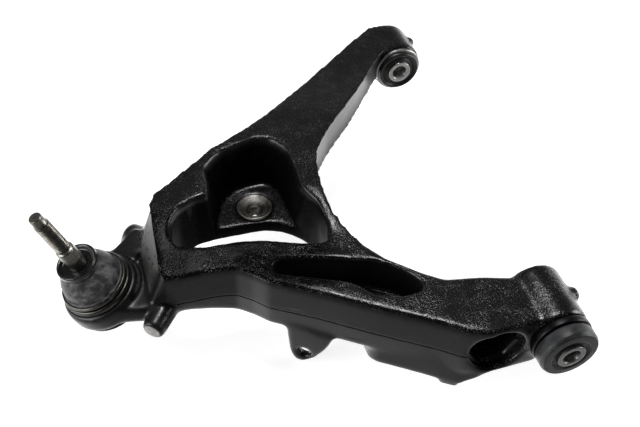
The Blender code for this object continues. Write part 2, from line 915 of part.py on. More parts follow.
def dust_boot():
    base = BALL_DROP
    outer = [
        (15.6, base + 32.0),
        (18.6, base + 32.0),
        (18.8, base + 31.3),
        (16.7, base + 31.2),
        (16.7, base + 29.2),
        (18.8, base + 29.0),
        (21.8, base + 27.0),
        (25.4, base + 23.0),
        (28.2, base + 18.0),
        (29.9, base + 12.4),
        (30.4, base + 7.6),
        (30.5, base + 0.3),
    ]
    inner = [
        (24.6, base + 0.3),
        (24.6, base + 2.2),
        (28.2, base + 3.0),
        (28.2, base + 11.6),
        (26.4, base + 17.2),
        (23.6, base + 21.8),
        (20.2, base + 25.4),
        (16.0, base + 27.8),
        (14.6, base + 29.0),
    ]
    return turned("dust_boot", outer + inner, BALL_PLACE, BOOT)


control_arm_casting()
shock_seat()
front_bushing()
rear_bushing()
ball_joint_fixed_pieces()
ball_joint_moving_pieces()
dust_boot()
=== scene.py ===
"""Looks for the lower front control arm: a soft-cornered black casting, turned bushing and ball joint
pieces with rolled edges, a threaded stud, a rubber boot in two halves, and studio light.
"""

from math import cos, pi, radians, sin

import bmesh
import bpy
import numpy as np
from mathutils import Euler, Matrix, Vector, noise


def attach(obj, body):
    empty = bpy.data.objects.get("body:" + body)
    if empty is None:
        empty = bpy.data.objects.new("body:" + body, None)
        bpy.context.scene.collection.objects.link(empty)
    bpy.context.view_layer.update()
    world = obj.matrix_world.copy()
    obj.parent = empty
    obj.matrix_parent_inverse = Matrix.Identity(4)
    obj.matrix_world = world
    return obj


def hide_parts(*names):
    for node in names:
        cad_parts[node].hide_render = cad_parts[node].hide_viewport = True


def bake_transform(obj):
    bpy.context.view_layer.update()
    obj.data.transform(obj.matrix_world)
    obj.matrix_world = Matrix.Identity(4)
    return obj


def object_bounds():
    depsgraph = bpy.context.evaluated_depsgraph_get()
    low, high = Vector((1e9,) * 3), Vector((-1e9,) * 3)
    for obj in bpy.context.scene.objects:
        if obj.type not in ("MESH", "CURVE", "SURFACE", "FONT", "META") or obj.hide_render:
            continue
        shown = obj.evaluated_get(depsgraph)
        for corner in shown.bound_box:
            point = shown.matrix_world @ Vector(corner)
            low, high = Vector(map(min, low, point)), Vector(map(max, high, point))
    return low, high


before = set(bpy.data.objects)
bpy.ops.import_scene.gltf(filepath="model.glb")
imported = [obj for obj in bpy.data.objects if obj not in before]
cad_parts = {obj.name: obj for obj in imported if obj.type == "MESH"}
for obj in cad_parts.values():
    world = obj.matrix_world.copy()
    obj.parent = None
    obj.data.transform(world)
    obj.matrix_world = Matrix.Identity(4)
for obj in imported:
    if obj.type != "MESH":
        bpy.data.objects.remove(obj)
cad_low, cad_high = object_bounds()

# ---- sizes, millimetres, as on the CAD part ---------------------------------------------------------
MM = 0.001
BORE_R = 24.5
SHELL_R = 24.2
FRONT_FLANGE_Y = 225.2
REAR_FLANGE_Y = -190.6
SLEEVE_R = 13.5
BOLT_R = 8.5

SEAT_CENTRE = Vector((-220.0, 58.0, -16.0))
SEAT_R = 18.6
SEAT_HOLE_R = 9.0
SEAT_PILOT_R = 3.5

SOCKET_CENTRE = Vector((-57.0, -188.0, -8.0))
SOCKET_MOUTH_R = 26.0
SOCKET_MOUTH_DEPTH = 10.0
SOCKET_HEX_FLATS = 42.0
SOCKET_HEX_DEPTH = 42.0

BOSS_CENTRE = Vector((-391.0, -8.5, -4.5))
BALL_AXIS = Vector((-0.336, -0.026, 0.9415)).normalized()
BALL_CENTRE = BOSS_CENTRE - BALL_AXIS * 13.0
HOUSING_R = 31.5
BALL_R = 14.0
FLANGE = 13.0  # height of the flange's top face over the ball's centre
STUD_TIP = FLANGE + 108.0
THREAD_R = 7.2
THREAD_ROOT = 6.15
THREAD_PITCH = 2.0

REAR_STOP_END = (Vector((-350.0, -67.0, -22.0)), Vector((-28.0, -35.0, -3.0)).normalized())
REAR_STOP_R = 14.0
PARTING_Z = -12.0

# ---- softening of the casting -----------------------------------------------------------------------
VOXEL_M = 0.0012
SOFTENING_PASSES = 75
KEPT_SHARE = 0.33  # of the even mesh's triangles
RIPPLE_SIZE = 30.0
RIPPLE_DEPTH = 0.25

SEGMENTS = 96


# ---- placing and turning ----------------------------------------------------------------------------
def axis_place(origin, axis):
    turn = Vector((0.0, 0.0, 1.0)).rotation_difference(axis)
    return Matrix.Translation(Vector(origin) * MM) @ turn.to_matrix().to_4x4()


ALONG_Y = Matrix(((1, 0, 0, 0), (0, 0, 1, 0), (0, -1, 0, 0), (0, 0, 0, 1)))
BALL_PLACE = axis_place(BALL_CENTRE, BALL_AXIS)
SEAT_PLACE = Matrix.Translation(SEAT_CENTRE * MM)


def rolled(profile, closed):
    """Rolls each corner that gives a third number, which is how far back the corner is cut."""
    points = []
    count = len(profile)
    for i, corner in enumerate(profile):
        here = Vector(corner[:2])
        back = corner[2] if len(corner) > 2 else 0.0
        if not back or (not closed and i in (0, count - 1)):
            points.append(here)
            continue
        before = Vector(profile[i - 1][:2]) - here
        after = Vector(profile[(i + 1) % count][:2]) - here
        start = here + before.normalized() * min(back, before.length * 0.48)
        end = here + after.normalized() * min(back, after.length * 0.48)
        for k in range(6):
            t = k / 5
            points.append(start * (1 - t) ** 2 + here * 2 * t * (1 - t) + end * t * t)
    return points


def turned(name, profile, place, closed=True, segments=SEGMENTS, sharp=38.0):
    """A turned piece from (radius, height[, corner roll]) points, down its outer side and up its inner."""
    points = rolled(profile, closed)
    mesh = bpy.data.meshes.new(name)
    bm = bmesh.new()
    rings = []
    for p in points:
        if p.x < 1e-6:
            rings.append([bm.verts.new((0.0, 0.0, p.y * MM))])
            continue
        ring = []
        for k in range(segments):
            a = 2 * pi * k / segments
            ring.append(bm.verts.new((p.x * cos(a) * MM, p.x * sin(a) * MM, p.y * MM)))
        rings.append(ring)
    pairs = list(zip(rings, rings[1:]))
    if closed:
        pairs.append((rings[-1], rings[0]))
    for upper, lower in pairs:
        for k in range(segments):
            j = (k + 1) % segments
            corners = (
                upper[k % len(upper)],
                lower[k % len(lower)],
                lower[j % len(lower)],
                upper[j % len(upper)],
            )
            unique = list(dict.fromkeys(corners))
            if len(unique) > 2:
                bm.faces.new(unique)
    bmesh.ops.recalc_face_normals(bm, faces=bm.faces)
    bm.transform(place)
    bm.to_mesh(mesh)
    bm.free()
    return shown(name, mesh, sharp)


def shown(name, mesh, sharp=38.0):
    """Links a mesh as a smooth-shaded object whose sharp corners stay sharp."""
    mesh.shade_smooth()
    mesh.set_sharp_from_angle(angle=radians(sharp))
    made = bpy.data.objects.new(name, mesh)
    bpy.context.scene.collection.objects.link(made)
    return made


def evaluated_mesh(obj, name):
    """The object's mesh with its modifiers applied."""
    graph = bpy.context.evaluated_depsgraph_get()
    graph.update()
    return bpy.data.meshes.new_from_object(obj.evaluated_get(graph)).copy()


def dress(obj, surface, body, slot, *nodes):
    """Gives a piece its material, body and the CAD nodes it stands for; the slot argument is not used."""
    obj.data.materials.clear()
    obj.data.materials.append(surface)
    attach(obj, body)
    if nodes:
        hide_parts(*nodes)
    return obj


# ---- materials --------------------------------------------------------------------------------------
class Surface:
    """Short calls for building one procedural material."""

    def __init__(self, name, roughness=0.4, metallic=0.0):
        self.material = bpy.data.materials.new(name)
        self.material.use_nodes = True
        self.tree = self.material.node_tree
        self.shader = self.tree.nodes["Principled BSDF"]
        self.shader.inputs["Roughness"].default_value = roughness
        self.shader.inputs["Metallic"].default_value = metallic
        coords = self.tree.nodes.new("ShaderNodeTexCoord")
        self.place = coords.outputs["Object"]

    def node(self, kind, **settings):
        made = self.tree.nodes.new("ShaderNode" + kind)
        for label, value in settings.items():
            setattr(made, label, value)
        return made

    def link(self, source, target):
        self.tree.links.new(source, target)

    def noise(self, size_mm, detail=3.0, rough=0.55, place=None):
        made = self.node("TexNoise")
        made.inputs["Scale"].default_value = 1.0 / (size_mm * MM)
        made.inputs["Detail"].default_value = detail
        made.inputs["Roughness"].default_value = rough
        self.link(place or self.place, made.inputs["Vector"])
        return made.outputs["Fac"]

    def cells(self, size_mm):
        made = self.node("TexVoronoi", feature="F1")
        made.inputs["Scale"].default_value = 1.0 / (size_mm * MM)
        self.link(self.place, made.inputs["Vector"])
        return made.outputs["Distance"]

    def math(self, operation, a, b=None, c=None, clamp=False):
        made = self.node("Math", operation=operation, use_clamp=clamp)
        for slot, value in zip(made.inputs, (a, b, c)):
            if value is None:
                continue
            if isinstance(value, (int, float)):
                slot.default_value = value
            else:
                self.link(value, slot)
        return made.outputs[0]

    def span(self, value, low, high, to_low=0.0, to_high=1.0):
        made = self.node("MapRange", interpolation_type="SMOOTHSTEP")
        self.link(value, made.inputs["Value"])
        ends = {"From Min": low, "From Max": high, "To Min": to_low, "To Max": to_high}
        for label, number in ends.items():
            made.inputs[label].default_value = number
        return made.outputs["Result"]

    def mix(self, factor, first, second):
        made = self.node("Mix", data_type="RGBA")
        for slot, value in ((made.inputs[0], factor), (made.inputs[6], first), (made.inputs[7], second)):
            if isinstance(value, tuple):
                slot.default_value = (*value, 1.0)
            elif isinstance(value, (int, float)):
                slot.default_value = value
            else:
                self.link(value, slot)
        return made.outputs[2]

    def attribute(self, name):
        made = self.node("Attribute", attribute_name=name)
        return made.outputs["Fac"]

    def color(self, value):
        self.link(value, self.shader.inputs["Base Color"])

    def roughness(self, value):
        self.link(value, self.shader.inputs["Roughness"])

    def bump(self, height, distance_mm, strength=1.0):
        made = self.node("Bump")
        made.inputs["Distance"].default_value = distance_mm * MM
        if isinstance(strength, (int, float)):
            made.inputs["Strength"].default_value = strength
        else:
            self.link(strength, made.inputs["Strength"])
        self.link(height, made.inputs["Height"])
        self.link(made.outputs["Normal"], self.shader.inputs["Normal"])
        return made


def casting_paint():
    """Gloss black paint over rough sand casting: bump sparkle and painted highlight specks where the casting
    is rough, satin side walls.
    """
    s = Surface("black_painted_casting")
    s.shader.inputs["Specular IOR Level"].default_value = 0.5
    grain = s.attribute("grain")
    lumps = s.noise(4.6, 2.0, 0.5)
    pebbles = s.noise(1.9, 2.0, 0.55)
    fine = s.noise(0.9, 2.0, 0.6)
    drift = s.noise(24.0, 3.0, 0.6)
    patchy = s.span(drift, 0.36, 0.62, 0.25, 1.0)
    height = s.math("ADD", s.math("MULTIPLY", lumps, 0.6), s.math("MULTIPLY", pebbles, 0.9))
    height = s.math("ADD", height, s.math("MULTIPLY", fine, 0.25))
    split = s.node("SeparateXYZ")
    s.link(s.place, split.inputs[0])
    line = s.attribute("parting")
    wander = s.math("MULTIPLY", s.math("SUBTRACT", s.noise(14.0, 2.0), 0.5), 0.0016)
    line_z = s.math("ADD", wander, PARTING_Z * MM)
    from_line = s.math("ABSOLUTE", s.math("SUBTRACT", split.outputs["Z"], line_z))
    groove = s.math("MULTIPLY", s.span(from_line, 0.0005, 0.0014, 1.0, 0.0), line)
    pits = s.math("MULTIPLY", s.span(s.cells(6.5), 0.15, 0.27, 1.0, 0.0), s.attribute("pitted_and_painted_light"))
    height = s.math("SUBTRACT", height, s.math("MULTIPLY", groove, 2.2))
    height = s.math("SUBTRACT", height, s.math("MULTIPLY", pits, 1.5))
    strength = s.math("MULTIPLY", grain, patchy, clamp=True)
    strength = s.math("MAXIMUM", strength, s.math("MULTIPLY", groove, 0.8))
    strength = s.math("MAXIMUM", strength, s.math("MULTIPLY", pits, 0.9))
    s.bump(height, 0.75, strength)
    # Painted highlights: sparse light grey specks in the base colour, thickest where the grain is rough,
    # stand in for glints of light.
    crowd = s.span(s.noise(17.0, 3.0, 0.6), 0.40, 0.60, 0.25, 1.0)
    spark = s.span(s.noise(0.95, 1.0, 0.4), 0.62, 0.68)
    painted_glint = s.math("MULTIPLY", spark, s.math("MULTIPLY", strength, crowd))
    shade = s.math("MAXIMUM", s.attribute("shade"), s.math("MAXIMUM", groove, pits))
    greyed = s.attribute("pitted_and_painted_light")
    tint = s.mix(s.span(pebbles, 0.35, 0.7), (0.0018, 0.0018, 0.0021), (0.0055, 0.0054, 0.0053))
    tint = s.mix(s.math("MULTIPLY", painted_glint, 0.8), tint, (0.42, 0.415, 0.41))
    # Painted light: the pitted gusset face gets a flat mid grey over the black paint, for the light falling
    # on it.
    tint = s.mix(greyed, tint, (0.085, 0.084, 0.082))
    # Painted shade: the parting line and the pits go near black in the base colour.
    tint = s.mix(s.math("MULTIPLY", s.math("MAXIMUM", groove, pits), 0.92), tint, (0.001, 0.001, 0.001))
    s.color(tint)
    satin = s.math("MAXIMUM", s.span(grain, 0.1, 0.7, 0.36, 0.20), s.math("MULTIPLY", greyed, 0.55))
    s.roughness(s.math("ADD", satin, s.span(fine, 0.3, 0.7, -0.04, 0.05)))
    # Painted shade: the specular level drops to nothing on the shade mask, the parting line and the pits.
    s.link(s.math("MULTIPLY_ADD", shade, -0.488, 0.5), s.shader.inputs["Specular IOR Level"])
    return s.material


def painted_reflection_lug():
    """The flat end of a stop lug: a matt, half-metallic grey, lighter than the paint as a painted reflection,
    with fine scoring.
    """
    s = Surface("lug_end_painted_reflection", metallic=0.6)
    stretch = s.node("Mapping")
    stretch.inputs["Scale"].default_value = (1.0, 1.0, 7.0)
    s.link(s.place, stretch.inputs["Vector"])
    scoring = s.noise(1.2, 3.0, 0.6, stretch.outputs[0])
    blotch = s.noise(5.0, 3.0)
    s.color(s.mix(s.span(blotch, 0.35, 0.65), (0.26, 0.255, 0.25), (0.40, 0.39, 0.375)))
    s.roughness(s.span(scoring, 0.3, 0.7, 0.45, 0.62))
    s.bump(scoring, 0.12, 0.7)
    return s.material


def ring_place(s, place):
    """Coordinates of radius and height about a piece's own axis, for turned marks."""
    to_axis = s.node("VectorMath", operation="SUBTRACT")
    s.link(s.place, to_axis.inputs[0])
    to_axis.inputs[1].default_value = place.translation
    axis = place.to_3x3() @ Vector((0.0, 0.0, 1.0))
    dot = s.node("VectorMath", operation="DOT_PRODUCT")
    s.link(to_axis.outputs[0], dot.inputs[0])
    dot.inputs[1].default_value = axis
    along = s.node("VectorMath", operation="SCALE")
    along.inputs[0].default_value = axis
    s.link(dot.outputs["Value"], along.inputs["Scale"])
    across = s.node("VectorMath", operation="SUBTRACT")
    s.link(to_axis.outputs[0], across.inputs[0])
    s.link(along.outputs[0], across.inputs[1])
    length = s.node("VectorMath", operation="LENGTH")
    s.link(across.outputs[0], length.inputs[0])
    joined = s.node("CombineXYZ")
    s.link(length.outputs["Value"], joined.inputs[0])
    s.link(dot.outputs["Value"], joined.inputs[1])
    return joined.outputs[0]


def turned_steel(name, place, dark, light, roughness, marks=0.35, stain=None, specks=0.5):
    """Lathe-turned steel: fine rings, blotchy tone and painted shade in the thread roots."""
    s = Surface(name, metallic=1.0)
    rings = ring_place(s, place)
    cut = s.noise(0.5, 2.0, 0.6, rings)
    broad = s.noise(2.2, 2.0, 0.5, rings)
    cloud = s.noise(7.0, 4.0, 0.6)
    speck = s.noise(0.9, 2.0, 0.6)
    blend = s.math("ADD", s.math("MULTIPLY", broad, 0.6), s.math("MULTIPLY", cloud, 0.4))
    tone = s.mix(s.span(blend, 0.35, 0.65), dark, light)
    if stain:
        tone = s.mix(s.span(cloud, 0.52, 0.68, 0.0, 0.75), tone, stain)
    tone = s.mix(s.span(speck, 0.62, 0.72, 0.0, specks), tone, tuple(c * 0.35 for c in dark))
    # Painted shade: the thread roots go near black in the base colour.
    tone = s.mix(s.math("MULTIPLY", s.attribute("thread_root"), 0.93), tone, (0.004, 0.004, 0.004))
    s.color(tone)
    polish = s.span(cut, 0.3, 0.7, roughness - 0.06, roughness + 0.06)
    s.roughness(s.math("ADD", polish, s.span(cloud, 0.4, 0.7, 0.0, 0.10)))
    s.bump(s.math("ADD", cut, s.math("MULTIPLY", speck, 0.3)), 0.10, marks)
    return s.material


def rubber(name, dark, light, roughness, dust=None, grain=0.25):
    """Moulded rubber: fine skin, cloudy tone, dust that settles in smears."""
    s = Surface(name)
    skin = s.noise(0.7, 3.0, 0.6)
    cloud = s.noise(9.0, 4.0, 0.6)
    wipe = s.node("Mapping")
    wipe.inputs["Scale"].default_value = (1.0, 2.6, 1.6)
    s.link(s.place, wipe.inputs["Vector"])
    smear = s.noise(11.0, 5.0, 0.65, wipe.outputs[0])
    tone = s.mix(s.span(cloud, 0.35, 0.65), dark, light)
    if dust:
        film = s.math("MULTIPLY", s.span(smear, 0.42, 0.68), s.span(s.noise(1.1, 3.0), 0.3, 0.6, 0.5, 1.0))
        tone = s.mix(film, tone, dust)
        dulled = s.span(smear, 0.42, 0.68, roughness, roughness + 0.22)
        s.roughness(s.math("ADD", dulled, s.span(skin, 0.3, 0.7, -0.03, 0.03)))
    else:
        s.roughness(s.span(skin, 0.3, 0.7, roughness - 0.06, roughness + 0.08))
    s.color(tone)
    s.bump(s.math("ADD", skin, s.math("MULTIPLY", cloud, 0.8)), 0.18, grain)
    return s.material


def polymer(name, color):
    s = Surface(name, 0.45)
    grain = s.noise(0.6, 2.0)
    s.color(s.mix(s.span(s.noise(6.0, 3.0), 0.35, 0.65), color, tuple(c * 0.82 for c in color)))
    s.roughness(s.span(grain, 0.3, 0.7, 0.38, 0.52))
    s.bump(grain, 0.05, 0.3)
    return s.material


# ---- the casting ------------------------------------------------------------------------------------
def near(value, low, high, soft):
    """1 between low and high, falling to 0 over a soft edge."""
    rise = np.clip((value - low) / soft + 1.0, 0.0, 1.0)
    fall = np.clip((high - value) / soft + 1.0, 0.0, 1.0)
    return np.minimum(rise, fall)


def paint_grain(mesh):
    """Marks how rough the casting is at each point: rough tops and rims, smooth side walls. Also marks the
    parting line, the pitted gusset face with its painted light, and painted shade on the gap's inner walls
    and the rear leg's left top slope.
    """
    count = len(mesh.vertices)
    place = np.zeros(count * 3, np.float32)
    facing = np.zeros(count * 3, np.float32)
    mesh.vertices.foreach_get("co", place)
    mesh.vertex_normals.foreach_get("vector", facing)
    x, y, z = (place.reshape(-1, 3) / MM).T
    side_x, side_y, up = facing.reshape(-1, 3).T
    grain = 0.05 + 0.70 * np.clip((up - 0.30) / 0.5, 0.0, 1.0)
    front = near(y, 120.0, 300.0, 60.0) * near(z, 5.0, 60.0, 8.0)
    grain -= 0.30 * front
    tube = near(np.hypot(x, z), 26.0, 33.0, 4.0)
    grain = np.maximum(grain, 0.75 * tube * near(y, -192.0, -126.0, 2.0))
    grain = np.maximum(grain, 0.55 * tube * near(y, 224.0, 277.0, 2.0))
    neck = near(x, -440.0, -345.0, 10.0) * near(z, -60.0, 2.0, 4.0)
    grain = np.maximum(grain * (1.0 - neck), 0.12 * neck)
    pocket = near(x, -275.0, -175.0, 4.0) * near(y, 30.0, 104.0, 4.0) * near(z, -17.0, 14.0, 6.0)
    grain = grain * (1.0 - 0.8 * pocket)
    pad = near(np.hypot(x - SEAT_CENTRE.x, y - SEAT_CENTRE.y), 21.0, 40.0, 3.0) * near(z, -26.0, -14.0, 2.0)
    grain = np.maximum(grain, 0.6 * pad * np.clip((up - 0.5) / 0.2, 0.0, 1.0))
    side = np.clip((0.35 - np.abs(up)) / 0.2, 0.0, 1.0)
    parting = side * near(x, -345.0, -70.0, 10.0) * near(y, -190.0, -40.0, 6.0)
    # The pitted gusset face: its pits are real, and the same mask carries the grey painted light of this
    # face.
    pitted_and_painted_light = near(x, -356.0, -322.0, 3.0) * near(y, -30.0, 60.0, 6.0) * near(z, -14.0, 34.0, 3.0)
    pitted_and_painted_light *= np.clip((0.55 - np.abs(up)) / 0.1, 0.0, 1.0)
    # Painted shade: the inner walls of the gap between the legs lose their reflection.
    gap = near(x, -345.0, -140.0, 4.0) * near(y, -70.0, 112.0, 4.0) * near(z, -75.0, 28.0, 4.0)
    inward = side_x * (-245.0 - x) + side_y * (30.0 - y)
    shade = gap * np.clip((0.75 - up) / 0.2, 0.0, 1.0) * np.clip(inward / 6.0, 0.0, 1.0)
    # Painted shade: most of the reflection is taken off the rear leg's left top slope.
    slope = near(x, -330.0, -185.0, 25.0) * near(y, -90.0, 22.0, 10.0) * near(z, 0.0, 60.0, 4.0)
    shade = np.maximum(shade, 0.94 * slope * np.clip((up - 0.4) / 0.3, 0.0, 1.0))
    for label, values in (("grain", grain), ("parting", parting), ("pitted_and_painted_light", pitted_and_painted_light), ("shade", shade)):
        layer = mesh.attributes.new(label, "FLOAT", "POINT")
        layer.data.foreach_set("value", np.clip(values, 0.0, 1.0).astype(np.float32))


def ripple(mesh, size, depth):
    """Moves a mesh in and out by slow noise, as a sand mould's face does."""
    count = len(mesh.vertices)
    place = np.zeros(count * 3)
    facing = np.zeros(count * 3, np.float32)
    mesh.vertices.foreach_get("co", place)
    mesh.vertex_normals.foreach_get("vector", facing)
    place = place.reshape(-1, 3)
    waves = np.array([noise.noise(Vector(p) / (size * MM)) for p in place])
    place += facing.reshape(-1, 3) * (waves * depth * MM)[:, None]
    mesh.vertices.foreach_set("co", place.ravel())
    mesh.update()


def drill(name, start, end, radius, segments=96):
    """A round cutter between two points."""
    a = Vector(start)
    b = Vector(end)
    profile = [(0.0, (b - a).length), (radius, (b - a).length), (radius, 0.0), (0.0, 0.0)]
    return turned(name, profile, axis_place(a, (b - a).normalized()), False, segments)


def hexagon_cutter():
    """The torsion bar's hexagon, cut crisp behind the round mouth."""
    corner = SOCKET_HEX_FLATS / 2 / cos(pi / 6)
    bm = bmesh.new()
    near_y = SOCKET_CENTRE.y + SOCKET_MOUTH_DEPTH - 2.0
    far_y = SOCKET_CENTRE.y + SOCKET_MOUTH_DEPTH + SOCKET_HEX_DEPTH
    rings = []
    for y in (near_y, far_y):
        ring = []
        for k in range(6):
            a = k * pi / 3
            x = SOCKET_CENTRE.x + corner * cos(a)
            z = SOCKET_CENTRE.z + corner * sin(a)
            ring.append(bm.verts.new(Vector((x, y, z)) * MM))
        rings.append(ring)
    for k in range(6):
        j = (k + 1) % 6
        bm.faces.new((rings[0][k], rings[0][j], rings[1][j], rings[1][k]))
    bm.faces.new(rings[0])
    bm.faces.new(rings[1])
    bmesh.ops.recalc_face_normals(bm, faces=bm.faces)
    mesh = bpy.data.meshes.new("hexagon_cutter")
    bm.to_mesh(mesh)
    bm.free()
    return shown("hexagon_cutter", mesh)


def casting():
    """The arm: the CAD casting, its corners softened as sand casting leaves them, then machined again."""
    work = bpy.data.objects.new("casting_work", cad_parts["control_arm_casting"].data.copy())
    bpy.context.scene.collection.objects.link(work)
    exact = bpy.data.objects.new("casting_exact", work.data.copy())
    bpy.context.scene.collection.objects.link(exact)
    askew = Euler((0.61, 0.47, 0.53)).to_matrix().to_4x4()
    work.data.transform(askew)
    weld = work.modifiers.new("weld", "WELD")
    weld.merge_threshold = 0.00001
    remesh = work.modifiers.new("remesh", "REMESH")
    remesh.mode = "VOXEL"
    remesh.voxel_size = VOXEL_M
    work.data = evaluated_mesh(work, "casting_even")
    work.modifiers.clear()
    work.data.transform(askew.inverted())
    settle = work.modifiers.new("settle", "SHRINKWRAP")
    settle.target = exact
    settle.wrap_method = "NEAREST_SURFACEPOINT"
    soften = work.modifiers.new("soften", "SMOOTH")
    soften.factor = 0.5
    soften.iterations = SOFTENING_PASSES
    lighten = work.modifiers.new("lighten", "DECIMATE")
    lighten.ratio = KEPT_SHARE
    work.data = evaluated_mesh(work, "casting_soft")
    work.modifiers.clear()
    lug_end, lug_axis = REAR_STOP_END
    mouth_inner = SOCKET_CENTRE + Vector((0, SOCKET_MOUTH_DEPTH, 0))
    mouth_outer = SOCKET_CENTRE - Vector((0, 30, 0))
    boss_low = BOSS_CENTRE - BALL_AXIS * 50.0
    boss_high = BOSS_CENTRE + BALL_AXIS * 12.0
    above_seat = Vector((0, 0, 14))
    sleeve_r = SEAT_HOLE_R + 4.0
    sleeve_low = SEAT_CENTRE - Vector((0, 0, 30))
    cutters = [
        drill("cut_front_bore", (0, 190, 0), (0, 300, 0), BORE_R),
        drill("cut_rear_bore", (0, -240, 0), (0, -100, 0), BORE_R),
        drill("cut_mouth", mouth_inner, mouth_outer, SOCKET_MOUTH_R),
        hexagon_cutter(),
        drill("cut_boss", boss_low, boss_high, HOUSING_R + 0.3),
        drill("cut_seat_bore", sleeve_low, SEAT_CENTRE + Vector((0, 0, 12)), sleeve_r),
        drill("cut_seat", SEAT_CENTRE - Vector((0, 0, 6)), SEAT_CENTRE + above_seat, SEAT_R + 0.3),
        drill("cut_lug", lug_end - lug_axis * 0.6, lug_end + lug_axis * 12.0, REAR_STOP_R),
    ]
    for cutter in cutters:
        cut = work.modifiers.new(cutter.name, "BOOLEAN")
        cut.operation = "DIFFERENCE"
        cut.solver = "MANIFOLD"
        cut.object = cutter
    mesh = evaluated_mesh(work, "casting")
    for old in (work, exact, *cutters):
        bpy.data.objects.remove(old)
    ripple(mesh, RIPPLE_SIZE, RIPPLE_DEPTH)
    paint_grain(mesh)
    made = shown("arm_casting", mesh, 42.0)
    dress(made, casting_paint(), "arm", "black_painted_casting", "control_arm_casting")
    # The lug's flat end takes the lighter grey of the painted reflection.
    mesh.materials.append(painted_reflection_lug())
    for face in mesh.polygons:
        if face.normal.dot(lug_axis) > 0.97 and (face.center / MM - lug_end).length < REAR_STOP_R:
            face.material_index = 1
    print("casting triangles", sum(len(p.vertices) - 2 for p in mesh.polygons))
    return made


# ---- bushings and seat ------------------------------------------------------------------------------
def bushings():
    silver = turned_steel(
        "front_shell_plated_steel", ALONG_Y, (0.42, 0.42, 0.41), (0.66, 0.66, 0.64), 0.30
    )
    shell = [
        (23.5, 274.5, 0.4),
        (SHELL_R, 273.5),
        (SHELL_R, FRONT_FLANGE_Y - 0.3),
        (27.4, FRONT_FLANGE_Y - 0.3, 0.5),
        (27.8, FRONT_FLANGE_Y - 0.9, 0.4),
        (27.8, FRONT_FLANGE_Y - 3.2, 0.5),
        (27.0, FRONT_FLANGE_Y - 3.9, 0.5),
        (22.6, FRONT_FLANGE_Y - 3.9),
        (22.6, 274.5),
    ]
    piece = turned("front_bushing_flange", shell, ALONG_Y)
    dress(piece, silver, "arm", "front_shell_plated_steel", "front_bushing_shell")
    face = 221.0
    rubber_front = [
        (14.8, 278.0, 0.6),
        (20.0, 277.5, 1.5),
        (22.3, 273.0, 1.5),
        (22.3, face),
        (24.8, face, 0.4),
        (25.2, face - 1.2, 0.8),
        (24.0, face - 3.6, 1.2),
        (22.4, face - 4.4, 0.9),
        (20.6, face - 3.4, 0.9),
        (19.4, face - 1.6, 0.6),
        (18.0, face - 1.8, 0.6),
        (16.6, face - 3.4, 0.8),
        (15.0, face - 3.8, 0.8),
        (13.8, face - 3.0),
        (13.8, 277.0),
    ]
    black = rubber("front_bushing_rubber", (0.006, 0.006, 0.0065), (0.014, 0.014, 0.015), 0.36)
    piece = turned("front_bushing_rubber_body", rubber_front, ALONG_Y)
    dress(piece, black, "arm", "front_bushing_rubber", "front_bushing_rubber")
    bright = turned_steel(
        "front_sleeve_plated_steel", ALONG_Y, (0.50, 0.50, 0.49), (0.78, 0.78, 0.76), 0.26, 0.3
    )
    sleeve = sleeve_profile(281.5, 215.0)
    piece = turned("front_sleeve_tube", sleeve, ALONG_Y)
    dress(piece, bright, "front_sleeve", "front_sleeve_plated_steel", "front_inner_sleeve")

    top = -128.0
    shell = [
        (23.4, top + 1.0, 0.3),
        (SHELL_R, top + 0.2),
        (SHELL_R, REAR_FLANGE_Y),
        (28.6, REAR_FLANGE_Y, 0.6),
        (29.2, REAR_FLANGE_Y - 1.2, 0.6),
        (29.2, REAR_FLANGE_Y - 5.9, 0.8),
        (28.2, REAR_FLANGE_Y - 7.1, 0.7),
        (22.6, REAR_FLANGE_Y - 7.1),
        (22.6, top + 1.0),
    ]
    coat = turned_steel(
        "rear_shell_black_steel", ALONG_Y, (0.012, 0.012, 0.013), (0.03, 0.03, 0.032), 0.34
    )
    piece = turned("rear_bushing_flange", shell, ALONG_Y)
    dress(piece, coat, "arm", "rear_shell_black_steel", "rear_bushing_shell")
    face = -198.0
    rubber_rear = [
        (14.8, top + 4.0, 0.6),
        (20.0, top + 3.5, 1.5),
        (22.3, top, 1.5),
        (22.3, face),
        (26.2, face, 0.5),
        (28.2, face - 1.2, 0.7),
        (28.4, face - 4.0, 0.8),
        (28.3, face - 11.6, 1.2),
        (26.4, face - 15.2, 1.0),
        (19.6, face - 15.6, 0.7),
        (18.6, face - 14.9, 0.4),
        (17.8, face - 13.4, 0.5),
        (16.0, face - 13.0, 0.5),
        (13.8, face - 13.4),
        (13.8, top + 3.0),
    ]
    grey = rubber(
        "rear_bushing_rubber", (0.009, 0.0092, 0.010), (0.016, 0.0165, 0.018), 0.40, (0.034, 0.036, 0.040)
    )
    piece = turned("rear_bushing_rubber_body", rubber_rear, ALONG_Y)
    dress(piece, grey, "arm", "rear_bushing_rubber", "rear_bushing_rubber")
    steel = turned_steel(
        "rear_sleeve_steel", ALONG_Y, (0.16, 0.16, 0.16), (0.32, 0.32, 0.31), 0.34, 0.5
    )
    sleeve = sleeve_profile(-121.5, -215.0)
    piece = turned("rear_sleeve_tube", sleeve, ALONG_Y)
    dress(piece, steel, "rear_sleeve", "rear_sleeve_steel", "rear_inner_sleeve")


def sleeve_profile(high, low):
    return [
        (SLEEVE_R, high, 0.7),
        (SLEEVE_R, low, 0.7),
        (BOLT_R + 0.6, low, 0.3),
        (BOLT_R, low + 0.9),
        (BOLT_R, high - 0.9),
        (BOLT_R + 0.6, high, 0.3),
    ]


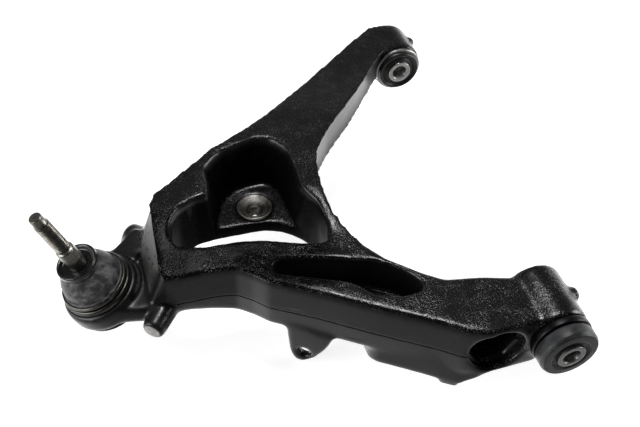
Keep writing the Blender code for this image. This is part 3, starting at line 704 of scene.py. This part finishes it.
def shock_seat():
    ring = SEAT_HOLE_R + 3.7
    profile = [
        (SEAT_R - 1.4, 1.2, 0.3),
        (SEAT_R, 0.2, 0.4),
        (SEAT_R, -5.7),
        (ring, -5.7),
        (ring, -15.5),
        (SEAT_PILOT_R, -15.5),
        (SEAT_PILOT_R, -14.8, 0.3),
        (SEAT_HOLE_R, -8.6, 0.5),
        (SEAT_HOLE_R, -3.6, 0.3),
        (SEAT_HOLE_R + 1.0, -3.0, 0.3),
    ]
    steel = turned_steel(
        "machined_seat_steel",
        SEAT_PLACE,
        (0.26, 0.25, 0.235),
        (0.62, 0.60, 0.57),
        roughness=0.30,
        marks=0.7,
        stain=(0.28, 0.24, 0.18),
    )
    piece = turned("shock_seat_ring", profile, SEAT_PLACE)
    dress(piece, steel, "arm", "machined_seat_steel", "shock_seat")


# ---- ball joint -------------------------------------------------------------------------------------
def housing_pieces():
    bottom = -33.8 + FLANGE
    housing = [
        (33.0, FLANGE, 0.5),
        (34.2, FLANGE - 1.2, 0.4),
        (34.2, FLANGE - 4.7, 0.3),
        (HOUSING_R, FLANGE - 4.7),
        (HOUSING_R, bottom + 3.4),
        (30.0, bottom + 3.4),
        (30.0, bottom + 1.4),
        (30.9, bottom + 1.4, 0.3),
        (29.9, bottom, 0.4),
        (23.0, bottom, 0.4),
        (23.0, 9.3),
        (18.4, 9.3),
        (18.4, FLANGE),
        (24.6, FLANGE),
        (24.6, FLANGE - 0.4),
        (30.6, FLANGE - 0.4),
        (30.6, FLANGE),
    ]
    dark = turned_steel(
        "ball_joint_housing_steel",
        BALL_PLACE,
        (0.05, 0.049, 0.045),
        (0.15, 0.148, 0.135),
        roughness=0.32,
        marks=0.4,
        stain=(0.10, 0.085, 0.06),
    )
    piece = turned("ball_joint_housing_body", housing, BALL_PLACE)
    dress(piece, dark, "arm", "ball_joint_housing_steel", "ball_joint_housing")
    ring = [
        (31.8, FLANGE + 5.4, 0.5),
        (32.7, FLANGE + 4.6, 0.4),
        (32.7, FLANGE + 2.8, 0.4),
        (31.8, FLANGE + 2.0, 0.5),
        (30.8, FLANGE + 2.0, 0.2),
        (30.8, FLANGE + 5.4, 0.2),
    ]
    olive = turned_steel(
        "boot_clamp_ring_steel", BALL_PLACE, (0.07, 0.068, 0.06), (0.20, 0.19, 0.17), 0.28, 0.35
    )
    piece = turned("boot_clamp_band", ring, BALL_PLACE)
    dress(piece, olive, "arm", "boot_clamp_ring_steel", "boot_clamp_ring")
    top = bottom + 3.2
    snap = [(34.6, top, 0.4), (34.6, top - 1.6, 0.4), (30.3, top - 1.6, 0.3), (30.3, top, 0.3)]
    spring = turned_steel("snap_ring_steel", BALL_PLACE, (0.05, 0.05, 0.05), (0.11, 0.11, 0.11), 0.38)
    piece = turned("snap_ring_band", snap, BALL_PLACE)
    dress(piece, spring, "arm", "snap_ring_steel", "housing_snap_ring")
    cover = [
        (0.0, -16.2),
        (22.7, -15.9, 0.3),
        (22.7, bottom + 0.6, 0.6),
        (16.0, bottom + 0.2, 0.8),
        (13.0, bottom + 1.2, 0.8),
        (9.0, bottom + 1.2, 0.8),
        (6.0, bottom + 0.2, 0.8),
        (0.0, bottom),
    ]
    pressed = turned_steel(
        "housing_cover_steel",
        BALL_PLACE,
        (0.09, 0.09, 0.085),
        (0.22, 0.22, 0.21),
        roughness=0.36,
        marks=0.4,
        stain=(0.16, 0.12, 0.08),
    )
    piece = turned("housing_cover_plate", cover, BALL_PLACE, False)
    dress(piece, pressed, "arm", "housing_cover_steel", "housing_cover")


def arc(radius, low, high, steps):
    points = []
    for k in range(steps + 1):
        h = low + (high - low) * k / steps
        points.append(((radius**2 - h**2) ** 0.5, h))
    return points


def stud():
    """The ball stud: pilot tip, helical thread, collar, taper, neck and ball."""
    thread_top = STUD_TIP - 10.2
    thread_foot = FLANGE + 60.0
    rows = []
    tip = [
        (0.0, STUD_TIP),
        (2.4, STUD_TIP),
        (5.5, STUD_TIP, 0.5),
        (6.1, STUD_TIP - 1.0, 0.5),
        (6.1, STUD_TIP - 9.0),
    ]
    for corner in rolled(tip, False):
        rows.append((corner.x, corner.y, 0.0))
    step = THREAD_PITCH / 6
    count = int((thread_top - thread_foot) / step)
    for k in range(count + 1):
        height = thread_top - k * step
        ends = min((thread_top - height) / 1.6, (height - thread_foot) / 2.2, 1.0)
        rows.append((THREAD_R, height, max(ends, 0.0)))
    lower = [
        (THREAD_R, thread_foot - 0.2),
        (7.0, thread_foot - 0.8),
        (8.3, thread_foot - 1.5, 0.4),
        (8.7, thread_foot - 2.2, 0.4),
        (9.3, FLANGE + 34.0),
        (9.3, FLANGE + 24.0, 1.5),
        (8.2, FLANGE + 19.0, 2.0),
        (7.4, FLANGE + 8.0, 2.0),
        (7.4, 13.2, 1.0),
    ]
    rows += [(p.x, p.y, 0.0) for p in rolled(lower, False)]
    rows += [(r, h, 0.0) for r, h in reversed(arc(BALL_R, -13.3, 11.6, 24))]
    rows.append((0.0, -13.3, 0.0))
    bm = bmesh.new()
    # Marks the thread roots for the painted shade in the stud's base colour.
    root = bm.verts.layers.float.new("thread_root")
    segments = 64
    rings = []
    for radius, height, thread in rows:
        if radius < 1e-6:
            rings.append([bm.verts.new((0.0, 0.0, height * MM))])
            continue
        ring = []
        for k in range(segments):
            a = 2 * pi * k / segments
            turn = (height / THREAD_PITCH - k / segments) % 1.0
            groove = min(1.0, max(0.0, 1.25 - abs(turn - 0.5) * 4.0 + 0.25))
            r = radius - (THREAD_R - THREAD_ROOT) * groove * thread
            vert = bm.verts.new((r * cos(a) * MM, r * sin(a) * MM, height * MM))
            vert[root] = groove * thread
            ring.append(vert)
        rings.append(ring)
    for upper, lower_ring in zip(rings, rings[1:]):
        for k in range(segments):
            j = (k + 1) % segments
            corners = (
                upper[k % len(upper)],
                lower_ring[k % len(lower_ring)],
                lower_ring[j % len(lower_ring)],
                upper[j % len(upper)],
            )
            unique = list(dict.fromkeys(corners))
            if len(unique) > 2:
                bm.faces.new(unique)
    bmesh.ops.recalc_face_normals(bm, faces=bm.faces)
    bm.transform(BALL_PLACE)
    mesh = bpy.data.meshes.new("ball_stud_threaded")
    bm.to_mesh(mesh)
    bm.free()
    made = shown("ball_stud_threaded", mesh, 50.0)
    steel = turned_steel(
        "ball_stud_bright_steel",
        BALL_PLACE,
        (0.15, 0.145, 0.13),
        (0.30, 0.29, 0.27),
        roughness=0.30,
        marks=0.15,
        stain=(0.20, 0.165, 0.12),
        specks=0.1,
    )
    dress(made, steel, "stud", "ball_stud_bright_steel", "ball_stud")


def densified(points, spacing):
    """Adds points along a profile, so that a piece has enough rows."""
    out = []
    for a, b in zip(points, points[1:]):
        steps = max(1, int((Vector(b) - Vector(a)).length / spacing))
        out += [Vector(a).lerp(Vector(b), k / steps) for k in range(steps)]
    out.append(Vector(points[-1]))
    return [(p.x, p.y) for p in out]


def smooth_curve(points, steps=6):
    """A smooth curve through profile points."""
    out = []
    ext = [points[0], *points, points[-1]]
    for i in range(1, len(ext) - 2):
        p0, p1, p2, p3 = (Vector(p[:2]) for p in ext[i - 1 : i + 3])
        for k in range(steps):
            t = k / steps
            squared = (2 * p0 - 5 * p1 + 4 * p2 - p3) * t * t
            cubed = (3 * p1 - p0 - 3 * p2 + p3) * t**3
            out.append(0.5 * ((2 * p1) + (p2 - p0) * t + squared + cubed))
    out.append(Vector(points[-1][:2]))
    return [(p.x, p.y) for p in out]


BOOT_SPLIT = FLANGE + 15.2


def boot():
    """The dust boot in two halves that meet at mid height."""
    base = FLANGE
    foot = [(30.5, base + 0.3), (30.5, base + 5.4), (30.0, base + 6.3), (28.8, base + 6.8)]
    skin = [*foot, *smooth_curve([(28.5, base + 7.6), (28.3, base + 11.0), (27.5, BOOT_SPLIT)])]
    lining = smooth_curve(
        [(25.2, BOOT_SPLIT), (26.3, base + 11.0), (26.6, base + 4.0), (24.6, base + 2.2), (24.6, base + 0.3)]
    )
    lower = [*reversed(skin), *reversed(lining)]
    shoulder = [(27.5, BOOT_SPLIT), (26.1, base + 18.8), (23.7, base + 23.2)]
    skin = smooth_curve([*shoulder, (20.9, base + 26.8), (18.9, base + 29.0)])
    groove = [
        (18.7, base + 29.1),
        (16.7, base + 29.25),
        (16.7, base + 31.15),
        (18.7, base + 31.3),
        (18.6, base + 32.0),
        (15.6, base + 32.0),
    ]
    throat = [(14.6, base + 29.0), (16.0, base + 27.6), (19.2, base + 24.8)]
    lining = smooth_curve([*throat, (22.2, base + 21.0), (25.2, BOOT_SPLIT)])
    upper = [*reversed(groove), *reversed(skin), *reversed(lining)]
    greyed = rubber(
        "dust_boot_rubber",
        (0.014, 0.014, 0.015),
        (0.030, 0.030, 0.032),
        roughness=0.42,
        dust=(0.13, 0.131, 0.136),
        grain=0.2,
    )
    low = turned("dust_boot_lower", densified(lower, 2.5), BALL_PLACE)
    high = turned("dust_boot_upper", densified(upper, 2.5), BALL_PLACE)
    for half, a, b, start, end in (
        (low, "arm", "liner", base + 5.5, BOOT_SPLIT),
        (high, "liner", "lip", BOOT_SPLIT, base + 28.0),
    ):
        half.data.materials.append(greyed)
        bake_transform(half)
    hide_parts("dust_boot")
    lip = [
        (19.0, base + 38.0, 0.7),
        (20.0, base + 37.0, 0.6),
        (20.0, base + 33.6, 0.6),
        (18.6, base + 32.3, 0.5),
        (10.0, base + 32.3),
        (9.7, base + 32.8),
        (9.7, base + 34.0, 0.3),
        (15.0, base + 34.2, 1.2),
        (17.2, base + 37.2, 0.8),
    ]
    glossy = rubber("boot_lip_rubber", (0.006, 0.006, 0.0065), (0.013, 0.013, 0.014), 0.20, grain=0.15)
    dress(turned("boot_lip_disc", lip, BALL_PLACE), glossy, "lip", "boot_lip_rubber", "boot_lip")
    ring = [
        (18.4, base + 31.0, 0.4),
        (18.4, base + 29.4, 0.4),
        (17.0, base + 29.4, 0.3),
        (17.0, base + 31.0, 0.3),
    ]
    wire = turned_steel(
        "boot_neck_ring_steel", BALL_PLACE, (0.06, 0.06, 0.06), (0.16, 0.16, 0.16), 0.34
    )
    piece = turned("boot_neck_band", ring, BALL_PLACE)
    dress(piece, wire, "lip", "boot_neck_ring_steel", "boot_neck_ring")


def hidden_pieces():
    """The ball joint's inner pieces keep their CAD shape and get worked materials."""
    steels = {
        "preload_washer": ("preload_washer_spring_steel", (0.12, 0.12, 0.125), (0.24, 0.24, 0.25), 0.34),
        "lower_race": ("lower_race_steel", (0.24, 0.24, 0.245), (0.42, 0.42, 0.43), 0.28),
        "upper_race": ("upper_race_steel", (0.26, 0.26, 0.26), (0.45, 0.45, 0.45), 0.28),
    }
    finishes = {
        node: turned_steel(name, BALL_PLACE, dark, light, roughness)
        for node, (name, dark, light, roughness) in steels.items()
    }
    finishes["ball_liner"] = polymer("ball_liner_polymer", (0.55, 0.53, 0.46))
    for name, finish in finishes.items():
        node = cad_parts[name]
        node.data.materials.clear()
        node.data.materials.append(finish)


# ---- stage ------------------------------------------------------------------------------------------
def area_light(name, place, aim, size, power, size_y=None):
    data = bpy.data.lights.new(name, "AREA")
    data.shape = "RECTANGLE"
    data.size = size
    data.size_y = size_y or size
    data.energy = power
    light = bpy.data.objects.new(name, data)
    light.location = place
    light.rotation_mode = "QUATERNION"
    light.rotation_quaternion = (Vector(aim) - Vector(place)).to_track_quat("-Z", "Y")
    bpy.context.scene.collection.objects.link(light)
    return light


def studio():
    floor_mesh = bpy.data.meshes.new("floor")
    reach = 12.0
    level = cad_low.z - 0.001
    corners = [(-reach, -reach, level), (reach, -reach, level), (reach, reach, level), (-reach, reach, level)]
    floor_mesh.from_pydata(corners, [], [(0, 1, 2, 3)])
    floor = bpy.data.objects.new("floor", floor_mesh)
    bpy.context.scene.collection.objects.link(floor)
    paper = bpy.data.materials.new("pale_floor")
    paper.use_nodes = True
    shader = paper.node_tree.nodes["Principled BSDF"]
    shader.inputs["Base Color"].default_value = (0.92, 0.92, 0.92, 1.0)
    shader.inputs["Roughness"].default_value = 0.9
    shader.inputs["Emission Color"].default_value = (1.0, 1.0, 1.0, 1.0)
    shader.inputs["Emission Strength"].default_value = 0.72
    floor_mesh.materials.append(paper)
    floor.visible_glossy = False
    world = bpy.data.worlds.new("studio")
    world.use_nodes = True
    tree = world.node_tree
    direction = tree.nodes.new("ShaderNodeTexCoord")
    split = tree.nodes.new("ShaderNodeSeparateXYZ")
    ramp = tree.nodes.new("ShaderNodeValToRGB")
    half = tree.nodes.new("ShaderNodeMath")
    half.operation = "MULTIPLY_ADD"
    half.inputs[1].default_value = 0.5
    half.inputs[2].default_value = 0.5
    tree.links.new(direction.outputs["Generated"], split.inputs[0])
    tree.links.new(split.outputs["Z"], half.inputs[0])
    tree.links.new(half.outputs[0], ramp.inputs[0])
    tree.links.new(ramp.outputs["Color"], tree.nodes["Background"].inputs["Color"])
    sideways = tree.nodes.new("ShaderNodeMapRange")
    for label, number in (("From Min", -0.5), ("From Max", 0.6), ("To Min", 0.45), ("To Max", 3.6)):
        sideways.inputs[label].default_value = number
    tree.links.new(split.outputs["Y"], sideways.inputs["Value"])
    tree.links.new(sideways.outputs["Result"], tree.nodes["Background"].inputs["Strength"])
    stops = ((0.0, 0.75), (0.42, 0.55), (0.56, 0.10), (0.75, 0.03), (1.0, 0.05))
    ramp.color_ramp.elements[1].position = 1.0
    for position, value in stops[1:-1]:
        ramp.color_ramp.elements.new(position)
    for element, (position, value) in zip(ramp.color_ramp.elements, stops):
        element.position = position
        element.color = (value, value, value, 1.0)
    bpy.context.scene.world = world
    middle = (-0.2, 0.0, 0.0)
    area_light("overhead_box", (-0.1, 0.35, 1.8), middle, 0.45, 15.0)
    area_light("left_panel", (-1.6, -0.2, 0.5), middle, 1.0, 12.0, 0.7)
    area_light("right_panel", (1.6, -0.2, 0.45), middle, 1.0, 16.0, 0.7)


def camera():
    data = bpy.data.cameras.new("camera")
    data.sensor_width = 36.0
    data.lens = 900.0 / 640.0 * 36.0
    data.clip_start = 0.01
    made = bpy.data.objects.new("camera", data)
    right = Vector((0.955, -0.296, 0.022)).normalized()
    back = -Vector((0.222, 0.661, -0.717)).normalized()
    up = back.cross(right).normalized()
    right = up.cross(back)
    spot = Vector((-0.3644, -0.5871, 0.6540))
    rows = [(right[i], up[i], back[i], spot[i]) for i in range(3)]
    made.matrix_world = Matrix((*rows, (0.0, 0.0, 0.0, 1.0)))
    bpy.context.scene.collection.objects.link(made)
    bpy.context.scene.camera = made


casting()
bushings()
shock_seat()
housing_pieces()
stud()
boot()
hidden_pieces()
studio()
camera()
bpy.context.scene.view_settings.view_transform = "Standard"
